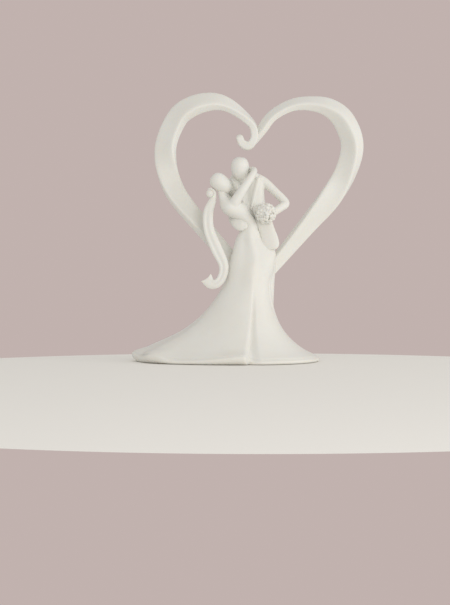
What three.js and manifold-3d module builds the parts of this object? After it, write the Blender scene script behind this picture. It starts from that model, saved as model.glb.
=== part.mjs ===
// Heart cake topper in bisque porcelain: a dancing couple in front of an open ribbon heart.
// Millimetres, +Z up, the front looks along -Y, the foot stands on z = 0.
import * as THREE from "three";
import { mergeVertices } from "three/addons/utils/BufferGeometryUtils.js";
import Module from "manifold-3d";

const wasm = await Module();
wasm.setup();

// Seams: every piece keeps this gap to the pieces that were set before it.
const seamGap = 0.3;

// Gown: reach of the hem from the skirt's upright axis, then half widths of the skirt at each height.
const gownAxis = [1.5, 0];
const hemLeft = 66.6;
const hemRight = 38.8;
const hemDepth = 68;
const hemFront = 0.515 * hemDepth;
const hemBack = hemDepth - hemFront;
const gownHeights = [3, 8, 17, 28, 42, 56, 68];
const gownLeft = [hemLeft, 58, 38.8, 25.2, 15.6, 11.4, 8.2];
const gownRight = [hemRight, 28, 18.9, 13.8, 11.6, 13.4, 7.1];
const gownFront = [hemFront, 29, 21.7, 16.4, 12.6, 10.4, 7.6];
const gownBack = [hemBack, 27, 17.8, 10.8, 6.0, 4.2, 3.6];
const hemHeight = 2.4;
const hemInset = 1.4;
const tipLift = 2.9;
const frontFoldDepth = 2;
const frontFoldLift = 2.6;
const frontFoldTop = 46;
const trainFoldDepth = 2.8;
const trainFoldLift = 2.8;
const trainFoldTop = 32;
const sideCreaseDepth = 0.9;
const sideCreaseSpan = [24, 34, 42, 52];
const ventRadius = 3;
const ventDepth = 8;

// Bride: the bodice runs from the gown's top edge to the head; places are x, y, z.
const brideHeadLength = 13.2;
const brideHeadWidth = 9.5;
const brideHeadMiddle = [-14.8, -4.4, 99.1];
const bodiceLine = [
  [1.3, -2.4, 72.3],
  [1.7, -2.8, 76.6],
  [-0.1, -3.4, 81.1],
  [-4.2, -4.2, 84.8],
  [-10.4, -4.6, 86.9],
  [-13.3, -4.6, 90.4],
  [-14.3, -4.4, 94.4],
];
const bodiceHalves = [[5.6, 5.3], [3.4, 4.6], [3.7, 4.9], [5.4, 5.6], [4.3, 6.2], [2.7, 2.9], [2.45, 2.4]];
const neckRadius = 2.2;
const brideArmRadius = 2.3;
const brideWristRadius = 1.75;
const brideRightArmLine = [
  [-8.6, -5.2, 84.6],
  [-7, -8.2, 88.8],
  [-1.6, -9.2, 97.3],
  [2.3, -7.4, 103.2],
  [3.7, -2.8, 106.7],
  [2, 2.4, 107.8],
];
const brideLeftArmLine = [[-9.6, -0.2, 88.6], [-12.6, 5.5, 94], [-9.2, 9.4, 101], [-2.2, 9.2, 102.4]];

// Hair: a small ball at the nape and a long grooved tail that curls round it.
const hairKnotSize = 3.6;
const hairKnotMiddle = [-21.2, -4.6, 93.6];
const hairTailBreadth = 5.8;
const hairTailThickness = 2.8;
const hairScoop = 3.4;
const hairTailLine = [
  [-21.9, -4.5, 95.8],
  [-20.4, -4.6, 96.1],
  [-18.7, -4.7, 94.6],
  [-18.6, -4.8, 92],
  [-19.7, -4.9, 89.2],
  [-21.9, -5.1, 83],
  [-21.6, -5.3, 73.5],
  [-17.5, -5.8, 63],
  [-13.5, -6.2, 54],
  [-14.1, -6.4, 47.6],
  [-17.1, -6.6, 43.6],
  [-20.7, -6.5, 43.4],
  [-23.3, -6.2, 46.8],
];

// Groom.
const groomHeadHeight = 13.2;
const groomHeadWidth = 9.9;
const groomChin = [-4.3, -0.1, 100.9];
const groomNeckRadius = 2.7;
const groomNeckLine = [[-1.8, 3.4, 97], [-3, 1, 101.5], [-4.3, -1.4, 107.4]];
const trousersLine = [[6.6, 5.6, 14], [7, 5.6, 28], [7.3, 5.2, 44], [8, 4.8, 58], [8.3, 4.4, 70]];
const trousersHalves = [[8, 6.8], [7.6, 6.4], [7.9, 6.2], [8, 6.4], [5.4, 4.4]];
const legGrooveDepth = 2.2;
const legGrooveBreadth = 1.8;
const jacketLine = [
  [8.6, 4.4, 66],
  [8.2, 4.3, 71],
  [6.9, 4.2, 78],
  [3.6, 4, 87],
  [0.4, 4, 96],
  [-0.3, 4, 101],
  [0.9, 3.8, 104.8],
];
const jacketHalves = [[7.6, 6.6], [7, 6.3], [6.2, 5.8], [6.7, 5.6], [9.6, 5.4], [9.8, 4.8], [6.8, 3.4]];
const openingMiddle = -1.4;
const openingHalf = 6.6;
const openingTop = 103;
const openingFoot = [1, 84];
const shirtInset = 0.7;
const shirtDepth = 3;
const lapelBreadth = 2.2;
const lapelThickness = 0.9;
const tailBreadth = 9.4;
const tailThickness = 3.4;
const tailLine = [[9.6, -4.5, 79], [10.4, -5.4, 73], [12, -5.7, 68], [13, -5.5, 64.8]];
const shoulderRadius = 3.2;
const sleeveRadius = 2.35;
const leftSleeveLine = [
  [6.4, 3.6, 102],
  [9.9, 3.7, 99.7],
  [15.8, 2.4, 94.3],
  [21.1, 0.6, 88.5],
  [18.4, -2.2, 85.8],
  [14.2, -4.6, 83],
];
const rightSleeveLine = [[-8, 5.5, 98], [-8.5, 8, 87], [-8.2, 5.4, 81.4], [-8.4, 0.6, 78.4]];
const handWidth = 4.8;
const handThickness = 4.8;
const leftPalm = [12, -6.6, 81.4];
const rightHandLine = [[-6.8, -4.3, 77], [-3.9, -6.6, 75.9], [-1.3, -7.4, 76]];

// Heart: two bands that stand behind the couple, on one centre line.
const heartMiddle = 6.5;
const heartWidth = 106;
const heartFoot = 45;
const heartHeight = 100;
const heartSetback = 10;
const heartFootSetback = 5.5;
const ribbonBreadth = 13;
const ribbonThickness = 6.4;

// Bouquet.
const bouquetRadius = 4.4;
const bouquetMiddle = [9.7, -8, 82.7];
const blossomRadius = 1.8;
const blossomCount = 30;

const degrees = THREE.MathUtils.degToRad;
const depthAxis = new THREE.Vector3(0, 1, 0);
const pieces = [];

function point(xyz) {
  return new THREE.Vector3(...xyz);
}

// A smooth curve through values that are evenly spaced in t, from 0 to 1.
function throughValues(values) {
  const curve = new THREE.SplineCurve(values.map((v, i) => new THREE.Vector2(i, v)));
  return (t) => curve.getPoint(t).y;
}

function smoothStep(low, high, value) {
  return THREE.MathUtils.smoothstep(value, low, high);
}

// Closes a stack of rings into one solid skin, with a fan at each end.
function skin(rings) {
  const sides = rings[0].length;
  const points = rings.flat();
  const lastRing = points.length - sides;
  const faces = [];
  for (let r = 0; r + 1 < rings.length; r += 1) {
    for (let s = 0; s < sides; s += 1) {
      const a = r * sides + s;
      const b = r * sides + ((s + 1) % sides);
      faces.push(a, b, b + sides, a, b + sides, a + sides);
    }
  }
  const start = points.push(middleOf(rings[0])) - 1;
  const end = points.push(middleOf(rings.at(-1))) - 1;
  for (let s = 0; s < sides; s += 1) {
    const next = (s + 1) % sides;
    faces.push(start, next, s);
    faces.push(end, lastRing + s, lastRing + next);
  }
  const geometry = new THREE.BufferGeometry().setFromPoints(points);
  geometry.setIndex(faces);
  return geometry;
}

function middleOf(ring) {
  const sum = ring.reduce((total, p) => total.add(p), new THREE.Vector3());
  return sum.divideScalar(ring.length);
}

// One closed section: a rounded oval, squarer as the fullness rises, with a furrow along its front.
function section(centre, across, through, halves, style) {
  const ring = [];
  for (let s = 0; s < style.sides; s += 1) {
    const angle = (2 * Math.PI * s) / style.sides;
    const c = Math.cos(angle);
    const d = Math.sin(angle);
    const u = Math.sign(c) * Math.abs(c) ** (2 / style.fullness);
    let v = Math.sign(d) * Math.abs(d) ** (2 / style.fullness);
    if (v < 0) v *= 1 - style.furrow * Math.exp(-((u / 0.4) ** 2));
    ring.push(
      centre.clone().addScaledVector(across, u * halves.x).addScaledVector(through, v * halves.y),
    );
  }
  return ring;
}

// Sweeps a section along stations of place, half breadth, half thickness and roll in degrees.
function sweep(stations, options) {
  const style = { steps: 16, sides: 14, fullness: 2, furrow: 0, roundStart: 0.8, roundEnd: 0.8, ...options };
  const path = new THREE.CatmullRomCurve3(stations.map((s) => point(s.at)), false, "catmullrom", 0.5);
  const size = new THREE.CatmullRomCurve3(
    stations.map((s) => new THREE.Vector3(s.half[0], s.half[1], s.roll ?? 0)), false, "catmullrom", 0.5,
  );
  const rings = [];
  const place = (t, shift, scale) => {
    const tangent = path.getTangent(t);
    const inward = new THREE.Vector3().crossVectors(depthAxis, tangent).normalize();
    const back = new THREE.Vector3().crossVectors(tangent, inward);
    const now = size.getPoint(t);
    const roll = degrees(now.z);
    const across = inward.clone().multiplyScalar(Math.cos(roll)).addScaledVector(back, -Math.sin(roll));
    const through = inward.clone().multiplyScalar(Math.sin(roll)).addScaledVector(back, Math.cos(roll));
    const centre = path.getPoint(t).addScaledVector(tangent, shift * Math.min(now.x, now.y));
    rings.push(section(centre, across, through, now.multiplyScalar(scale), style));
  };
  const caps = [70, 35];
  if (style.roundStart) {
    caps.forEach((a) => place(0, -style.roundStart * Math.sin(degrees(a)), Math.cos(degrees(a))));
  }
  for (let i = 0; i <= style.steps; i += 1) place(i / style.steps, 0, 1);
  if (style.roundEnd) {
    caps.reverse().forEach((a) => place(1, style.roundEnd * Math.sin(degrees(a)), Math.cos(degrees(a))));
  }
  return skin(rings);
}

function stationsOf(line, halves) {
  return line.map((at, i) => ({ at, half: halves[i] }));
}

function solidOf(geometry) {
  const bare = geometry.clone();
  bare.deleteAttribute("normal");
  bare.deleteAttribute("uv");
  const merged = mergeVertices(bare, 1e-4);
  return new wasm.Manifold(
    new wasm.Mesh({
      numProp: 3,
      vertProperties: new Float32Array(merged.attributes.position.array),
      triVerts: new Uint32Array(merged.index.array),
    }),
  );
}

function geometryOf(solid) {
  const mesh = solid.getMesh();
  const geometry = new THREE.BufferGeometry();
  geometry.setAttribute("position", new THREE.BufferAttribute(new Float32Array(mesh.vertProperties), 3));
  geometry.setIndex(new THREE.BufferAttribute(new Uint32Array(mesh.triVerts), 1));
  return geometry;
}

// Moves the skin of a form outwards, or inwards where the distance is below zero.
function grown(geometry, distance) {
  const bare = geometry.clone();
  bare.deleteAttribute("normal");
  bare.deleteAttribute("uv");
  const form = mergeVertices(bare, 1e-4);
  form.computeVertexNormals();
  const { position, normal } = form.attributes;
  for (let i = 0; i < position.count; i += 1) {
    position.setXYZ(
      i,
      position.getX(i) + normal.getX(i) * distance,
      position.getY(i) + normal.getY(i) * distance,
      position.getZ(i) + normal.getZ(i) * distance,
    );
  }
  return form;
}

function biggest(solid) {
  return solid.decompose().reduce((a, b) => (a.volume() > b.volume() ? a : b));
}

// Sets a piece: what earlier pieces occupy, grown by the seam, is cut out of it.
function setPiece(name, form, outside = form) {
  form.computeBoundingBox();
  const reach = form.boundingBox.clone().expandByScalar(2 * seamGap);
  let solid = solidOf(form);
  for (const earlier of pieces) {
    if (!earlier.reach.intersectsBox(reach)) continue;
    solid = solid.subtract(earlier.cutter);
  }
  pieces.push({ name, reach, solid: biggest(solid), cutter: solidOf(grown(outside, seamGap)) });
}

// Signed distance in degrees from one heading to another.
function turnFrom(heading, angle) {
  return ((((angle - heading) % 360) + 540) % 360) - 180;
}

function bump(value) {
  return Math.abs(value) < 1 ? (1 - value * value) ** 2 : 0;
}

// Where a mesh line of the skirt runs: the lines at 270 and 210 follow the two folds as they lean.
function gownHeading(line, height) {
  const rise = Math.min(height / frontFoldTop, 1);
  const frontLean = (12.1 * rise ** 1.9 - 4.5) * bump(turnFrom(270, line) / 55);
  const trainLean = (7 - 12.8 * (height / trainFoldTop)) * bump(turnFrom(210, line) / 28);
  return line + frontLean + trainLean;
}

// Folds of the skirt: how far the cloth stands out along one mesh line at a height.
// The front fold drops off sharply just past line 270, the train fold softly on both sides of line 210.
function gownFold(line, height) {
  const frontTurn = turnFrom(270, line);
  const frontCrest = smoothStep(-46, 0, frontTurn) * (1 - smoothStep(0, 1.4, frontTurn));
  const frontValley = frontTurn > 0 ? -0.3 * (1 - smoothStep(1.4, 34, frontTurn)) : 0;
  const trainTurn = turnFrom(210, line);
  const trainCrest = Math.exp(-((trainTurn / (trainTurn < 0 ? 9 : 21)) ** 2));
  const trainValley = -0.5 * Math.exp(-((turnFrom(193, line) / 9) ** 2));
  const crease = Math.exp(-((turnFrom(340, line) / 6) ** 2));
  const [low, full, fade, high] = sideCreaseSpan;
  const creaseReach = smoothStep(low, full, height) * (1 - smoothStep(fade, high, height));
  const frontStrength = 1 - smoothStep(hemHeight, frontFoldTop, height);
  const trainStrength = 1 - smoothStep(hemHeight, trainFoldTop, height);
  return (
    frontStrength * frontFoldDepth * (frontCrest + frontValley)
    + trainStrength * trainFoldDepth * (trainCrest + trainValley)
    - creaseReach * sideCreaseDepth * crease
  );
}

// Height of the hem's upper edge, which lifts under the two folds and at the train's tip.
function hemEdge(line) {
  const frontTurn = turnFrom(268, line);
  const front = Math.exp(-((frontTurn / (frontTurn < 0 ? 15 : 3)) ** 2));
  const train = Math.exp(-((turnFrom(210, line) / 11) ** 2));
  const tip = Math.exp(-((turnFrom(180, line) / 14) ** 2));
  return hemHeight + frontFoldLift * front + trainFoldLift * train + tipLift * tip;
}

// Mesh lines round the skirt: evenly spread, with more beside the two folds.
function gownLines() {
  const even = Array.from({ length: 48 }, (_, i) => 7.5 * i);
  const besideFolds = [205, 214, 262, 266.5, 271.4, 273.5];
  return [...even, ...besideFolds].sort((a, b) => a - b);
}

function makeGown() {
  const heightAt = throughValues(gownHeights);
  const left = throughValues(gownLeft);
  const right = throughValues(gownRight);
  const front = throughValues(gownFront);
  const back = throughValues(gownBack);
  const ring = (t, height, inset, foldShare, edgeShare) => gownLines().map((line) => {
    const heading = degrees(gownHeading(line, height));
    const c = Math.cos(heading);
    const d = Math.sin(heading);
    const out = gownFold(line, height) * foldShare - inset;
    const spreadX = (c < 0 ? left(t) : right(t)) + out;
    const spreadY = (d < 0 ? front(t) : back(t)) + out;
    const z = edgeShare > 0 ? hemEdge(line) * edgeShare : height;
    return new THREE.Vector3(gownAxis[0] + spreadX * c, gownAxis[1] + spreadY * d, z);
  });
  const rings = [
    ring(0, 0, hemInset, 0.7, 0),
    ring(0, 0, hemInset * 0.2, 1, 0.45),
    ring(0, 0, hemInset * 0.1, 1, 1),
  ];
  const steps = 2 * (gownHeights.length - 1);
  for (let i = 2; i <= steps; i += 1) rings.push(ring(i / steps, heightAt(i / steps), 0, 1, 0));
  const vent = new THREE.CylinderGeometry(ventRadius, ventRadius, 2 * ventDepth, 24);
  vent.rotateX(degrees(90));
  vent.translate(gownAxis[0] + 4 * ventRadius, gownAxis[1], 0);
  return geometryOf(solidOf(skin(rings)).subtract(solidOf(vent)));
}

// The trousers, with a groove down the back that parts the two legs.
function makeTrousers() {
  const form = sweep(stationsOf(trousersLine, trousersHalves), { steps: 8, sides: 16, fullness: 2.2 });
  const [middle, depth] = trousersLine[2];
  const [seatLow, seatHigh] = [trousersLine[3][2], trousersLine[4][2]];
  const { position } = form.attributes;
  for (let i = 0; i < position.count; i += 1) {
    const near = Math.exp(-(((position.getX(i) - middle) / legGrooveBreadth) ** 2));
    const behind = smoothStep(0, legGrooveDepth, position.getY(i) - depth);
    const below = 1 - smoothStep(seatLow, seatHigh, position.getZ(i));
    position.setY(i, position.getY(i) - legGrooveDepth * near * behind * below);
  }
  return form;
}

function makeJacket() {
  const style = { steps: 12, sides: 16, fullness: 2.3, roundStart: 0.15, roundEnd: 0.5 };
  return sweep(stationsOf(jacketLine, jacketHalves), style);
}

// The jacket's open front: a wedge that narrows from the neck down to the button.
function makeOpening(shrink) {
  const chest = jacketLine[4];
  const chestDepth = jacketHalves[4][1];
  const half = openingHalf - shrink;
  const foot = openingFoot[1] + 8 * shrink;
  const corners = (y) => [
    new THREE.Vector3(openingFoot[0], y, foot),
    new THREE.Vector3(openingMiddle + half, y, openingTop),
    new THREE.Vector3(openingMiddle - half, y, openingTop),
  ];
  return skin([corners(chest[1] - chestDepth + shirtDepth - shrink), corners(chest[1] - 3 * chestDepth)]);
}

// Where the jacket's front is at a height, straight between its stations and on past the last.
function jacketFront(z) {
  const above = jacketLine.findIndex((at) => at[2] >= z);
  const next = above > 0 ? above : jacketLine.length - 1;
  const [low, high] = [next - 1, next].map((i) => [jacketLine[i][2], jacketLine[i][1] - jacketHalves[i][1]]);
  return THREE.MathUtils.mapLinear(z, low[0], high[0], low[1], high[1]);
}

// A lapel lies along one edge of the opening, from the neck down to the button.
function makeLapel(side) {
  const [footX, footZ] = openingFoot;
  const topX = openingMiddle + side * (openingHalf + 0.4 * lapelBreadth);
  const spots = [[0.95, 0.42], [0.68, 0.5], [0.26, 0.36], [0.03, 0.2]];
  const stations = spots.map(([rise, share]) => {
    const z = footZ + rise * (openingTop - footZ);
    const x = footX + side * 0.4 * lapelBreadth + rise * (topX - footX - side * 0.4 * lapelBreadth);
    const at = [x, jacketFront(z) - 0.3 * lapelThickness, z];
    return { at, half: [share * lapelBreadth, lapelThickness] };
  });
  return sweep(stations, { steps: 8, sides: 10, fullness: 2.4 });
}

function makeJacketTail() {
  const halves = [0.47, 0.51, 0.53, 0.47].map((share) => [share * tailBreadth, 0.5 * tailThickness]);
  return sweep(stationsOf(tailLine, halves), { steps: 7, sides: 16, fullness: 2.5 });
}

// The bodice grows out of the gown's top edge and ends as the neck inside the head.
function makeBodice() {
  const [left, right, front, back] = [gownLeft, gownRight, gownFront, gownBack].map((sizes) => sizes.at(-1));
  const seamMiddle = [gownAxis[0] + 0.5 * (right - left), gownAxis[1] + 0.5 * (back - front)];
  const seamHalf = [0.5 * (right + left), 0.5 * (back + front)];
  const top = gownHeights.at(-1);
  const stations = [
    { at: [...seamMiddle, top - 10 * seamGap], half: seamHalf.map((size) => 0.8 * size) },
    { at: [...seamMiddle, top], half: seamHalf.map((size) => 0.98 * size) },
    ...stationsOf(bodiceLine, bodiceHalves),
    { at: brideHeadMiddle, half: [neckRadius, neckRadius] },
  ];
  return sweep(stations, { steps: 22, sides: 14, fullness: 2.1, roundStart: 0, roundEnd: 0.6 });
}

// A plain egg: narrower towards the chin, which points along +Z before it is turned.
function makeEgg(length, width, slimming) {
  const segments = 12;
  const outline = [];
  for (let i = 0; i <= segments; i += 1) {
    const angle = (Math.PI * i) / segments;
    const along = -Math.cos(angle);
    const radius = i % segments === 0 ? 0 : Math.sin(angle) * (1 - slimming * along);
    outline.push(new THREE.Vector2(0.5 * width * radius, 0.5 * length * along));
  }
  return new THREE.LatheGeometry(outline, 16).rotateX(degrees(90));
}

// The head stands on its chin and leans a little forward.
function makeGroomHead() {
  const egg = makeEgg(groomHeadHeight, groomHeadWidth, 0.12).scale(1, 1.1, 1);
  egg.translate(0, 0, -0.5 * groomHeadHeight);
  return egg.rotateX(degrees(190)).translate(...groomChin);
}

function makeBrideHead() {
  const egg = makeEgg(brideHeadLength, brideHeadWidth, 0.12);
  return egg.rotateY(degrees(128)).translate(...brideHeadMiddle);
}

function makeLimb(line, radii, options) {
  const stations = line.map((at, i) => ({ at, half: [radii[i], radii[i]] }));
  return sweep(stations, { steps: 12, sides: 10, ...options });
}

function makeBrideRightArm() {
  const arm = [1.4, 1.2, 1, 0.86].map((share) => share * brideArmRadius);
  return makeLimb(brideRightArmLine, [...arm, brideWristRadius, 0.9 * brideWristRadius], { steps: 14 });
}

function makeBrideLeftArm() {
  const arm = [1.02, 0.89, 0.77].map((share) => share * brideArmRadius);
  return makeLimb(brideLeftArmLine, [...arm, 0.86 * brideWristRadius]);
}

function makeLeftSleeve() {
  const shoulder = [1, 0.84].map((share) => share * shoulderRadius);
  const sleeve = [1.03, 1, 0.98, 0.94].map((share) => share * sleeveRadius);
  return makeLimb(leftSleeveLine, [...shoulder, ...sleeve], { steps: 14, roundEnd: 0.3 });
}

function makeRightSleeve() {
  const sleeve = [1.03, 1, 0.94].map((share) => share * sleeveRadius);
  return makeLimb(rightSleeveLine, [0.9 * shoulderRadius, ...sleeve], { steps: 10, roundEnd: 0.3 });
}

// The right hand, a mitten that goes on from the sleeve and lies under the partner's back.
function makeRightHand() {
  const shares = [[0.38, 0.38], [0.54, 0.44], [0.63, 0.46], [0.43, 0.36]];
  const halves = shares.map(([thick, wide]) => [thick * handThickness, wide * handWidth]);
  const line = [rightSleeveLine.at(-1), ...rightHandLine];
  return sweep(stationsOf(line, halves), { steps: 7, sides: 10, fullness: 2.3 });
}

// The left hand goes on from the sleeve and holds the bouquet from behind.
function makeLeftHand() {
  const line = [leftSleeveLine.at(-1), leftPalm, bouquetMiddle];
  return makeLimb(line, [0.8, 0.9, 0.9].map((share) => share * sleeveRadius), { steps: 8 });
}

function makeHairKnot() {
  const ball = new THREE.SphereGeometry(0.5 * hairKnotSize, 12, 9);
  return ball.rotateX(degrees(90)).scale(1, 1, 1.08).translate(...hairKnotMiddle);
}

// The tail starts above the ball, curls round it, hangs down and ends in a scooped fishtail.
function makeHairTail() {
  const breadths = [0.17, 0.26, 0.32, 0.4, 0.72, 0.97, 1.02, 1.1, 0.94, 0.86, 0.86, 0.98, 1.24];
  const depths = [0.7, 0.95, 1.05, 1.05, 1, 1, 1, 1, 1, 1, 1, 0.8, 0.5];
  const stations = hairTailLine.map((at, i) => (
    { at, half: [0.5 * hairTailBreadth * breadths[i], 0.5 * hairTailThickness * depths[i]] }
  ));
  const style = { steps: 34, sides: 12, fullness: 2.3, furrow: 0.3, roundEnd: 0.2 };
  const band = sweep(stations, style);
  const tip = point(hairTailLine.at(-1));
  const along = tip.clone().sub(point(hairTailLine.at(-2))).normalize();
  const scoop = new THREE.CylinderGeometry(hairScoop, hairScoop, 4 * hairTailThickness, 20);
  scoop.translate(...tip.addScaledVector(along, hairScoop));
  return geometryOf(solidOf(band).subtract(solidOf(scoop)));
}

// A heart ribbon: each row is the place as shares of the heart's width and height, the breadth and thickness
// as shares of the full band, and the roll in degrees. The foot comes forward to the couple.
function makeRibbon(rows, options) {
  const stations = rows.map(([across, up, breadth, thickness, roll]) => {
    const y = THREE.MathUtils.lerp(heartFootSetback, heartSetback, smoothStep(0, 0.24, up));
    const at = [heartMiddle + across * heartWidth, y, heartFoot + up * heartHeight];
    return { at, half: [0.5 * ribbonBreadth * breadth, 0.5 * ribbonThickness * thickness], roll };
  });
  return sweep(stations, { sides: 12, fullness: 5, ...options });
}

// From the foot behind the gown, up round the left half and down into the hook at the cleft.
function makeLeftRibbon() {
  const rows = [
    [-0.061, 0.025, 0.52, 0.72, -30],
    [-0.182, 0.16, 0.65, 0.81, -33],
    [-0.291, 0.29, 0.75, 0.9, -35],
    [-0.45, 0.507, 0.87, 0.84, -20],
    [-0.499, 0.725, 0.93, 0.9, 24],
    [-0.443, 0.901, 0.91, 1.03, 33],
    [-0.354, 0.98, 0.94, 1.08, 46],
    [-0.224, 1.012, 0.78, 0.75, 50],
    [-0.124, 0.972, 0.61, 0.51, 56],
    [-0.031, 0.877, 0.55, 0.52, 80],
    [-0.023, 0.82, 0.55, 0.7, 90],
    [-0.038, 0.775, 0.54, 0.62, 90],
    [-0.063, 0.761, 0.52, 0.68, 90],
    [-0.089, 0.774, 0.49, 0.64, 90],
    [-0.102, 0.801, 0.45, 0.6, 90],
  ];
  return makeRibbon(rows, { steps: 44, roundEnd: 1 });
}

// From the cleft, round the right half and down to the foot behind the legs.
function makeRightRibbon() {
  const rows = [
    [-0.02, 0.792, 0.3, 0.62, -40],
    [0.014, 0.847, 0.3, 0.95, -38],
    [0.073, 0.93, 0.3, 1.09, -34],
    [0.173, 0.991, 0.26, 1.11, -31],
    [0.275, 1.006, 0.34, 1.29, -30],
    [0.375, 0.99, 0.34, 1.55, -36],
    [0.457, 0.917, 0.56, 1.45, -42],
    [0.495, 0.765, 0.93, 1.25, -45],
    [0.464, 0.616, 0.89, 1.19, -26],
    [0.381, 0.468, 0.95, 1.08, 4],
    [0.26, 0.313, 0.77, 0.88, 22],
    [0.137, 0.158, 0.62, 0.83, 26],
    [0.009, 0, 0.5, 0.7, 26],
  ];
  return makeRibbon(rows, { steps: 40 });
}

function makeBouquetCore() {
  const ball = new THREE.SphereGeometry(bouquetRadius, 14, 9);
  return ball.rotateX(degrees(90)).translate(...bouquetMiddle);
}

// A five-petalled flower that opens along +Z, with a dent in its middle.
function makeBlossom() {
  const sides = 10;
  const ring = (radius, height, lobes) => {
    const loop = [];
    for (let s = 0; s < sides; s += 1) {
      const angle = (2 * Math.PI * s) / sides;
      const r = blossomRadius * radius * (1 - lobes + lobes * Math.cos(5 * angle));
      loop.push(new THREE.Vector3(r * Math.cos(angle), r * Math.sin(angle), blossomRadius * height));
    }
    return loop;
  };
  return skin([ring(0.5, 0, 0), ring(1, 0.6, 0.14), ring(0.76, 1.06, 0.18), ring(0.24, 0.84, 0)]);
}

// Blossoms spread evenly over the ball; the side that the hand and the jacket hide stays bare.
function setBouquet() {
  setPiece("bouquet_core", makeBouquetCore());
  const upright = new THREE.Vector3(0, 0, 1);
  let number = 0;
  for (let i = 0; i < blossomCount; i += 1) {
    const rise = 1 - (2 * (i + 0.5)) / blossomCount;
    const around = degrees(137.508 * i);
    const level = Math.sqrt(1 - rise * rise);
    const out = new THREE.Vector3(level * Math.cos(around), -rise, level * Math.sin(around));
    if (out.y > 0.55) continue;
    const turn = new THREE.Quaternion().setFromUnitVectors(upright, out);
    const blossom = makeBlossom().applyQuaternion(turn);
    const seat = point(bouquetMiddle).addScaledVector(out, bouquetRadius + seamGap);
    number += 1;
    setPiece("blossom_" + String(number).padStart(2, "0"), blossom.translate(seat.x, seat.y, seat.z));
  }
}

function setJacketFront() {
  const body = makeJacket();
  const shirt = solidOf(grown(body, -shirtInset)).intersect(solidOf(makeOpening(seamGap)));
  const shell = solidOf(body).subtract(solidOf(makeOpening(0)));
  setPiece("groom_shirt_front", geometryOf(biggest(shirt)));
  setPiece("groom_jacket", geometryOf(biggest(shell)), body);
}

setPiece("gown_skirt", makeGown());
setPiece("bride_bodice", makeBodice());
setPiece("bride_head", makeBrideHead());
setPiece("groom_trousers", makeTrousers());
setJacketFront();
setPiece("groom_head", makeGroomHead());
setPiece("groom_neck", makeLimb(groomNeckLine, groomNeckLine.map(() => groomNeckRadius)));
setPiece("bride_right_arm", makeBrideRightArm());
setPiece("bride_left_arm", makeBrideLeftArm());
setPiece("groom_left_sleeve", makeLeftSleeve());
setPiece("groom_right_sleeve", makeRightSleeve());
setPiece("groom_right_hand", makeRightHand());
setPiece("groom_left_lapel", makeLapel(1));
setPiece("groom_right_lapel", makeLapel(-1));
setPiece("groom_jacket_tail", makeJacketTail());
setBouquet();
setPiece("groom_left_hand", makeLeftHand());
setPiece("hair_knot", makeHairKnot());
setPiece("hair_tail", makeHairTail());
setPiece("heart_left_ribbon", makeLeftRibbon());
setPiece("heart_right_ribbon", makeRightRibbon());

const topper = new THREE.Group();
topper.name = "heart_cake_topper";
for (const { name, solid } of pieces) {
  const bisque = new THREE.MeshStandardMaterial({ color: 0xf0ebe2, roughness: 0.75, metalness: 0 });
  const mesh = new THREE.Mesh(geometryOf(solid), bisque);
  mesh.name = name;
  topper.add(mesh);
}

export default topper;
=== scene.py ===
# Heart cake topper in unglazed porcelain: its pieces, finish, floor, light and camera.
from math import cos, exp, radians, sin

import bmesh
import bpy
from mathutils import Matrix, Vector
from mathutils.bvhtree import BVHTree


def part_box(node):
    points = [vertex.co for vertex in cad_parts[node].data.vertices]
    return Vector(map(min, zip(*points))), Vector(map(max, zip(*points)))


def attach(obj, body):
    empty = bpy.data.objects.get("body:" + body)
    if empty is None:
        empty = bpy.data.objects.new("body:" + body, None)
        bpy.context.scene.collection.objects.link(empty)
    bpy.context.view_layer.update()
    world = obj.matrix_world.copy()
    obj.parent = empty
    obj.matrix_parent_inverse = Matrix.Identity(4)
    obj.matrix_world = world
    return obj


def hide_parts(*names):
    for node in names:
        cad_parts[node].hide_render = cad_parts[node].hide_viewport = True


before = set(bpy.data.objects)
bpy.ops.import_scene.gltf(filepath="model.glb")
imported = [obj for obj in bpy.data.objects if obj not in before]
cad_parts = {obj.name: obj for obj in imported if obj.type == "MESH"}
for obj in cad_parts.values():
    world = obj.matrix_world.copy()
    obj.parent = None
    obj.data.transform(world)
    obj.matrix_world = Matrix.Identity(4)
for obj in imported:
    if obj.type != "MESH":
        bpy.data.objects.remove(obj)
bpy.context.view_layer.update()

mm = 0.001  # pieces are modelled in millimetres and scaled when they are added
scene = bpy.context.scene


def mix(a, b, share):
    return a + (b - a) * share


def smoothStep(low, high, value):
    share = min(max((value - low) / (high - low), 0), 1)
    return share * share * (3 - 2 * share)


def within(span, value):
    # a span says where something starts, is full, fades and ends
    low, full, fade, high = span
    return smoothStep(low, full, value) * (1 - smoothStep(fade, high, value))


def hump(value):
    return (1 - value * value) ** 2 if abs(value) < 1 else 0


def bell(turn, width):
    return exp(-((turn / width) ** 2))


def through(rows, t):
    # one smooth curve through evenly spaced rows of numbers, t from 0 to 1
    place = t * (len(rows) - 1)
    i = min(int(place), len(rows) - 2)
    u = place - i
    b, c = rows[i], rows[i + 1]
    a = rows[i - 1] if i > 0 else [2 * p - q for p, q in zip(b, c)]
    d = rows[i + 2] if i + 2 < len(rows) else [2 * q - p for p, q in zip(b, c)]
    return [
        0.5 * (2 * q + u * (r - p) + u * u * (2 * p - 5 * q + 4 * r - s) + u ** 3 * (3 * q - p - 3 * r + s))
        for p, q, r, s in zip(a, b, c, d)
    ]


def throughTangent(rows, t):
    step = 1e-3
    ahead = Vector(through(rows, min(t + step, 1))[:3])
    behind = Vector(through(rows, max(t - step, 0))[:3])
    return (ahead - behind).normalized()


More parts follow.
